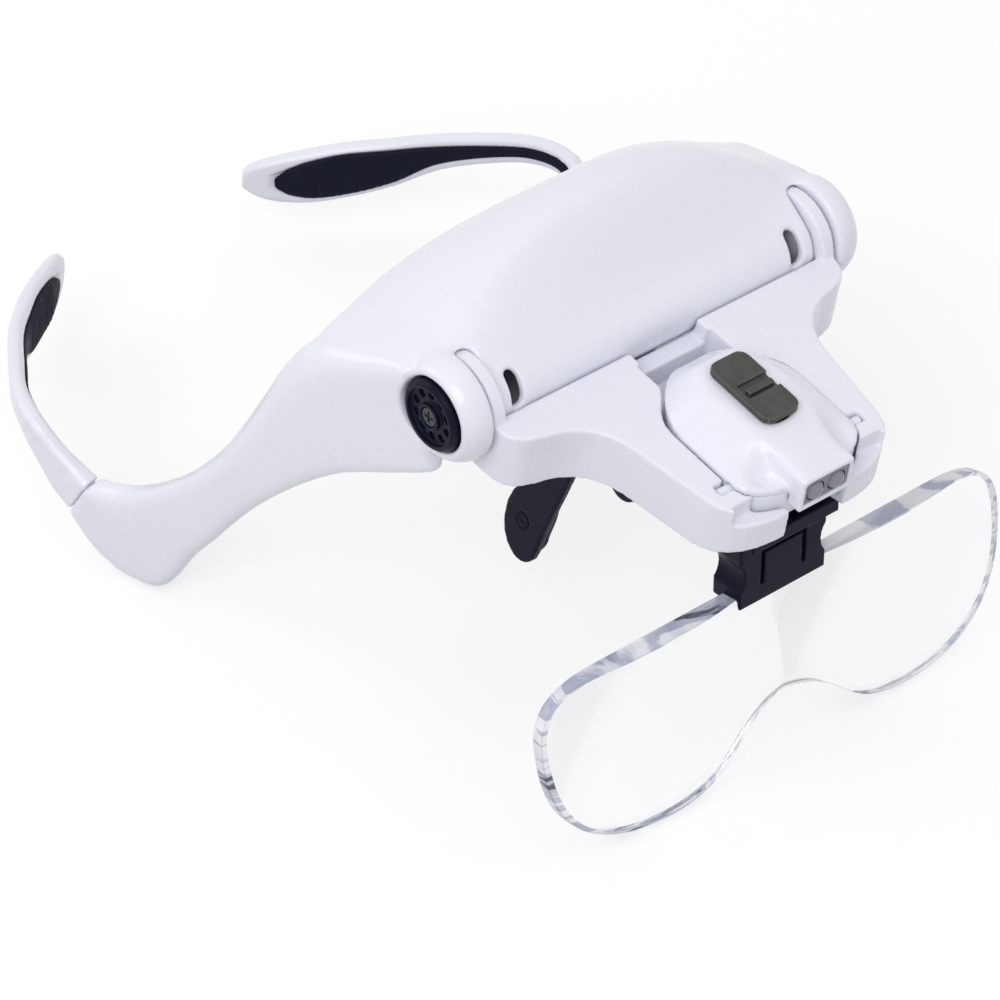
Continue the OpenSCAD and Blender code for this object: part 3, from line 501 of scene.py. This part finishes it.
# A place along the leaning pod and its height square to that
def alongPod(y, z):
    lean = math.radians(podLean)
    return y * math.cos(lean) + z * math.sin(lean), z * math.cos(lean) - y * math.sin(lean)


def podShare(x, y, z, shape):
    deep, high = alongPod(y, z)
    top = rampUp(high, shape["split"], shape["fade"]) * rampUp(deep, *shape["mouth"], shape["mouthLeast"])
    return shape["rim"] + (shape["strong"] - shape["rim"]) * top


def podScoop(x, y, z, shape):
    deep, high = alongPod(y, z)
    lean = math.radians(podLean)
    across = (np.abs(x) - shape["scoopAt"][0]) / shape["scoopSize"][0]
    along = (deep - shape["scoopAt"][1]) / shape["scoopSize"][1]
    drop = shape["scoop"] * np.exp(-across ** 2 - along ** 2)
    drop = drop * rampUp(high, shape["scoopFrom"], shape["fade"])
    return np.stack([0 * x, drop * math.sin(lean), -drop * math.cos(lean)], 1) * mm


meltedCopy("podCap", ["pod_top"], "pod", podShape, podShare, press=podScoop)
print("pod cap made")


# Lamps: a domed body with a reflector cup inside. Profiles are (depth, radius), the flange's from
# the end of the barrel.
lampShape = {"radius": 2.5, "length": 3.4, "flange": [(0.05, 2.9), (0.95, 2.9), (1.0, 2.8)],
             "pitch": 6.0, "centre": -61.3, "high": 1.0, "sides": 40,
             "domeFrom": 88, "domeStep": 8, "domeRows": 11, "cupSides": 24,
             "cup": [(0.6, 1.15), (0.5, 1.2), (1.3, 0.75), (3.2, 0.7),
                     (3.2, 0.1), (1.5, 0.1), (1.2, 0.5), (0.7, 1.0)]}


def turnedOnPod(profile, centre, sides):
    tip = Matrix.Rotation(math.radians(podLean), 3, "X")
    rings = []
    for depth, radius in profile:
        ring = []
        for angle in anglesRound(sides):
            spot = Vector((centre[0] + radius * math.cos(angle), centre[1] + depth,
                           centre[2] + radius * math.sin(angle)))
            ring.append(fromAxis(*(tip @ spot)))
        rings.append(ring)
    return skinRings(rings)


def buildLamp(word, side, shape):
    radius, length = shape["radius"], shape["length"]
    angles = [math.radians(shape["domeFrom"] - shape["domeStep"] * i) for i in range(shape["domeRows"])]
    body = [(-radius * math.sin(angle), radius * math.cos(angle)) for angle in angles]
    body += [(0.0, radius), (length, radius)]
    body += [(length + depth, reach) for depth, reach in shape["flange"]]
    centre = (side * shape["pitch"] / 2, shape["centre"], shape["high"])
    node = "led_" + word
    newPiece(node + "Body", *turnedOnPod(body, centre, shape["sides"]), "pod", "lampResin", [node])
    newPiece(node + "Cup", *turnedOnPod(shape["cup"], centre, shape["cupSides"]), "pod", "screwSteel")


for word, side in sideOf.items():
    buildLamp(word, side, lampShape)
print("lamps made")


# Nose pads: soft rubber behind each leaf of the bracket, with a stud through the leaf's hole.
# The outline is (y, z); each ring is a share of the outline at a depth.
padShape = {"out": 9.5, "floor": -9.6, "splay": 6.0, "voxel": 0.2, "rounds": 26,
            "outline": [([(12, -40), (22, -38), (25, -50), (22.5, -57)], 22),
                        ([(22.5, -57), (20, -63), (13, -60), (12.5, -54)], 20),
                        ([(12.5, -54), (11, -49), (8, -42), (12, -40)], 16)],
            "rings": [(0.04, -0.12), (0.5, -0.12), (0.9, -0.12), (0.975, -0.3), (0.98, -0.8),
                      (0.96, -1.3), (0.94, -1.8), (0.92, -2.3), (0.88, -2.5), (0.8, -2.62),
                      (0.6, -2.68), (0.35, -2.7), (0.16, -2.68), (0.12, -2.62), (0.08, -2.54),
                      (0.03, -2.5)],
            "studAt": (17.5, -50.0), "studSides": 24,
            "stud": [(-0.4, 1.9), (1.95, 1.9), (2.15, 1.8), (2.2, 1.2), (2.15, 0.5), (2.0, 0.35),
                     (2.0, 0.1)]}


def buildNosePad(word, side, shape):
    outline = [bezier(*shape["outline"][0])[0]]
    for curve in shape["outline"]:
        outline += bezier(*curve)[1:]
    outline.pop()
    lean = Matrix.Rotation(math.radians(-shape["splay"]), 3, "Y")
    middle = Vector((sum(y for y, z in outline), sum(z for y, z in outline))) / len(outline)

    def place(depth, y, z):
        spot = lean @ Vector((depth, y, z))
        return fromAxis(side * (spot.x + shape["out"]), spot.y, spot.z + shape["floor"])

    rings = []
    for share, depth in shape["rings"]:
        rings.append([place(depth, *(middle + (Vector(point) - middle) * share)) for point in outline])
    name = "nosePad" + word.capitalize()
    piece = newPiece(name, *skinRings(rings), "frame", "softBlack", ["nose_pad_" + word])
    soften(piece, shape["voxel"], shape["rounds"])
    y, z = shape["studAt"]
    stud = []
    for depth, radius in shape["stud"]:
        stud.append([place(depth, y + radius * math.cos(angle), z + radius * math.sin(angle))
                     for angle in anglesRound(shape["studSides"])])
    newPiece(name + "Stud", *skinRings(stud), "frame", "softBlack")


for word, side in sideOf.items():
    buildNosePad(word, side, padShape)
print("nose pads made")


# Leg grips: rubber strips that widen to ribbed pads. Each row of the leg's line is a point,
# the leg's thickness and the strip's height; first, last, ribFrom and ribTo count rows.
gripShape = {"line": [((78.25, 101, -70.8), 5.2, 2.6), ((79.24, 105.1, -68.15), 4.8, 2.6),
                      ((80.65, 109.4, -63.6), 4.2, 2.6), ((81.6, 116, -57.2), 4.2, 2.6),
                      ((78.6, 125, -56), 3.8, 2.6), ((72.6, 134.4, -57.4), 3.8, 3),
                      ((64, 147, -61.4), 3.8, 5), ((56.2, 156, -65.8), 4.2, 9.4),
                      ((48.4, 163.6, -68.6), 4.2, 11.6), ((41, 169.6, -70.4), 4.2, 10.4),
                      ((34.6, 174.6, -71), 3.8, 5), ((30.6, 177.8, -70.8), 3.4, 3)],
             "cuts": 22, "first": 2, "last": 10, "sides": 20, "square": 0.6, "proud": 0.5,
             "sunk": 0.45, "crown": 0.35, "crownHalf": 4, "endLeast": 0.35, "endCuts": 9,
             "rib": 0.28, "ribPitch": 2.1, "ribFrom": 6.2, "ribTo": 9.4}


def smoothRow(a, b, c, d, t):
    return (b + (c - a) * t / 2 + (2 * a - 5 * b + 4 * c - d) * t * t / 2
            + (3 * b - a - 3 * c + d) * t ** 3 / 2)


def gripPath(shape):
    rows = [np.array([*point, thick, high]) for point, thick, high in shape["line"]]
    path = []
    for i in range(shape["first"], shape["last"]):
        for k in range(shape["cuts"]):
            t = k / shape["cuts"]
            path.append((i + t, smoothRow(*rows[i - 1:i + 3], t)))
    return path + [(shape["last"], rows[shape["last"]])]


def squared(value, power):
    return math.copysign(abs(value) ** power, value)


def buildGrip(word, side, shape):
    path = gripPath(shape)
    end = len(path) - 1
    rings, run = [], 0.0
    for i, (at, row) in enumerate(path):
        before, after = path[max(i - 1, 0)][1][:3], path[min(i + 1, end)][1][:3]
        along = Vector(after - before).normalized()
        out = Vector((along.y, -along.x, 0)).normalized()
        up = out.cross(along)
        run += (Vector(row[:3]) - Vector(before)).length
        fade = max(0, min(1, (at - shape["ribFrom"]) * 2, (shape["ribTo"] - at) * 2))
        wave = (0.5 - 0.5 * math.cos(2 * math.pi * run / shape["ribPitch"])) ** 2
        rib = shape["rib"] * fade * wave
        rounding = math.sqrt(min(1, min(i, end - i) / shape["endCuts"]))
        taper = shape["endLeast"] + (1 - shape["endLeast"]) * rounding
        half = row[4] / 2 * min(1, taper)
        middle = Vector(row[:3]) - out * row[3] / 2
        face = shape["proud"] + shape["crown"] * min(1, half / shape["crownHalf"]) + rib
        ring = []
        for angle in anglesRound(shape["sides"]):
            high = half * squared(math.cos(angle), shape["square"])
            deep = squared(math.sin(angle), shape["square"])
            spot = middle + up * high + out * deep * (face if deep < 0 else shape["sunk"])
            ring.append(fromAxis(side * spot.x, spot.y, spot.z))
        rings.append(ring)
    name = "grip" + word.capitalize()
    newPiece(name, *skinRings(rings), "leg_" + word, "softBlack", ["leg_grip_" + word])


for word, side in sideOf.items():
    buildGrip(word, side, gripShape)
print("grips made")


# Studio: pale floor, white surround and three soft lamps that aim at the object. Metres and watts.
studio = {"floorSize": 6.0, "floorDrop": 0.0002, "floorColour": (0.5, 0.5, 0.505), "floorGlow": 0.55,
          "surround": 0.73, "aim": (0, 0, 0.05)}
softboxes = {"keyBox": {"at": (-1.0, -0.6, 1.05), "size": 1.0, "power": 6.8},
             "fillBox": {"at": (1.2, -0.9, 0.9), "size": 0.9, "power": 0.2},
             "rimBox": {"at": (-0.9, 1.2, 0.9), "size": 0.7, "power": 2.2}}


# 1 for what the camera sees straight, in gloss or through glass; 0 for the light on the object
def pathWhite(tree):
    path = tree.nodes.new("ShaderNodeLightPath")
    seen = path.outputs["Is Camera Ray"]
    for ray in ("Is Glossy Ray", "Is Transmission Ray"):
        either = tree.nodes.new("ShaderNodeMath")
        either.operation = "MAXIMUM"
        tree.links.new(seen, either.inputs[0])
        tree.links.new(path.outputs[ray], either.inputs[1])
        seen = either.outputs[0]
    return seen


def buildFloor(shape):
    half = shape["floorSize"] / 2
    corners = [(x * half, y * half, 0) for x, y in [(-1, -1), (1, -1), (1, 1), (-1, 1)]]
    mesh = bpy.data.meshes.new("floor")
    mesh.from_pydata(corners, [], [(0, 1, 2, 3)])
    floor = bpy.data.objects.new("floor", mesh)
    scene.collection.objects.link(floor)
    floor.location.z = -shape["floorDrop"]
    material = bpy.data.materials.new("floorPale")
    material.use_nodes = True
    tree = material.node_tree
    tree.nodes.clear()
    out = tree.nodes.new("ShaderNodeOutputMaterial")
    diffuse = tree.nodes.new("ShaderNodeBsdfDiffuse")
    diffuse.inputs["Color"].default_value = (*shape["floorColour"], 1)
    glow = tree.nodes.new("ShaderNodeEmission")
    scale = tree.nodes.new("ShaderNodeMath")
    scale.operation = "MULTIPLY"
    scale.inputs[1].default_value = shape["floorGlow"]
    tree.links.new(pathWhite(tree), scale.inputs[0])
    tree.links.new(scale.outputs[0], glow.inputs["Strength"])
    both = tree.nodes.new("ShaderNodeAddShader")
    tree.links.new(diffuse.outputs[0], both.inputs[0])
    tree.links.new(glow.outputs[0], both.inputs[1])
    # Seen from below, the floor is clear
    side = tree.nodes.new("ShaderNodeNewGeometry")
    clear = tree.nodes.new("ShaderNodeBsdfTransparent")
    pick = tree.nodes.new("ShaderNodeMixShader")
    tree.links.new(side.outputs["Backfacing"], pick.inputs[0])
    tree.links.new(both.outputs[0], pick.inputs[1])
    tree.links.new(clear.outputs[0], pick.inputs[2])
    tree.links.new(pick.outputs[0], out.inputs["Surface"])
    mesh.materials.append(material)


def buildSurround(shape):
    world = bpy.data.worlds.new("surround")
    scene.world = world
    world.use_nodes = True
    tree = world.node_tree
    back = tree.nodes["Background"]
    back.inputs["Color"].default_value = (1, 1, 1, 1)
    tree.links.new(addRange(tree, pathWhite(tree), shape["surround"], 1, (0, 1)), back.inputs["Strength"])


def addSoftbox(name, at, size, power):
    lamp = bpy.data.lights.new(name, "AREA")
    lamp.shape = "DISK"
    lamp.size = size
    lamp.energy = power
    box = bpy.data.objects.new(name, lamp)
    box.location = at
    box.rotation_euler = (Vector(studio["aim"]) - Vector(at)).to_track_quat("-Z", "Y").to_euler()
    scene.collection.objects.link(box)


buildFloor(studio)
buildSurround(studio)
for name, box in softboxes.items():
    addSoftbox(name, **box)

# Camera at the photograph's viewing angle
cameraView = {"look": (0.5065, 0.6036, -0.6157), "right": (0.766, -0.643, 0.0),
              "from": (-595.7, -664.2, 645.4), "focal": 182.0, "sensor": 36, "near": 0.05}
camera = bpy.data.objects.new("photoCamera", bpy.data.cameras.new("photoCamera"))
camera.data.sensor_width = cameraView["sensor"]
camera.data.lens = cameraView["focal"]
camera.data.clip_start = cameraView["near"]
look = Vector(cameraView["look"]).normalized()
right = Vector(cameraView["right"]).normalized()
turned = Matrix((right, right.cross(look), -look)).transposed().to_4x4()
camera.matrix_world = Matrix.Translation(fromAxis(*cameraView["from"])) @ turned
scene.collection.objects.link(camera)
scene.camera = camera
scene.view_settings.view_transform = "Standard"
print("studio and camera set")
